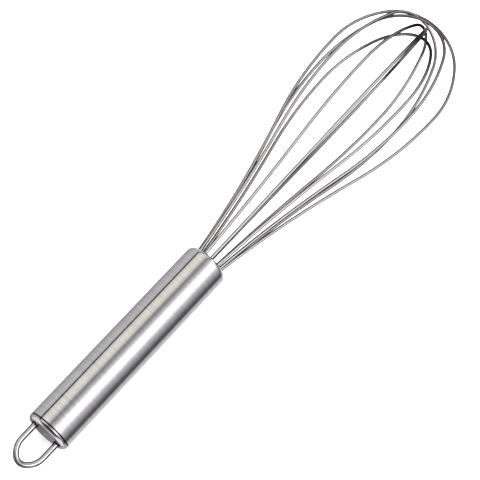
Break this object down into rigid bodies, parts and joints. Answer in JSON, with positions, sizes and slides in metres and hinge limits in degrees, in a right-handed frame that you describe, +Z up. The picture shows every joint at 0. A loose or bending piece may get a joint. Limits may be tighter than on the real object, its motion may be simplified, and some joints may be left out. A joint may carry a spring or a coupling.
{
  "type": "balloon whisk",
  "caption": "Balloon whisk with a round brushed steel tube handle, a cage of crossed spring-wire loops, a polished slotted end cap and a swinging wire hanging loop.",
  "frame": {"origin": "centre of the handle tube's rear rim, where the end cap meets it", "axes": "+X along the handle axis towards the balloon's tip, +Y along the hanging loop's pivot, +Z up when the whisk lies on its side"},
  "size_m": [0.3117, 0.067, 0.069],
  "materials": {
    "brushed_tube": "brushed around the handle, satin",
    "polished_cap": "fine-brushed bridge, polished shoulder",
    "polished_wire": "polished drawn wire",
    "spring_wire": "bright drawn spring wire",
    "inner_steel": "plain mill finish",
    "inner_alloy": "turned",
    "seal": "cast resin, smooth"
  },
  "bodies": {
    "whisk": {"handle_tube": "brushed_tube", "end_cap": "polished_cap", "loop_keeper": "inner_steel", "wire_insert": "inner_alloy", "lock_plate": "inner_steel", "mouth_seal": "seal", "wire_loop_1": "spring_wire", "wire_loop_2": "spring_wire", "wire_loop_3": "spring_wire", "wire_loop_4": "spring_wire", "wire_loop_5": "spring_wire", "wire_loop_6": "spring_wire"},
    "hanging_loop": {"hanging_loop": "polished_wire"}
  },
  "joints": [
    {"name": "loop_swing", "type": "hinge", "parent": "whisk", "child": "hanging_loop", "pos_m": [-0.00085, 0, 0], "axis": [0, 1, 0], "range_deg": [-50, 50]}
  ]
}
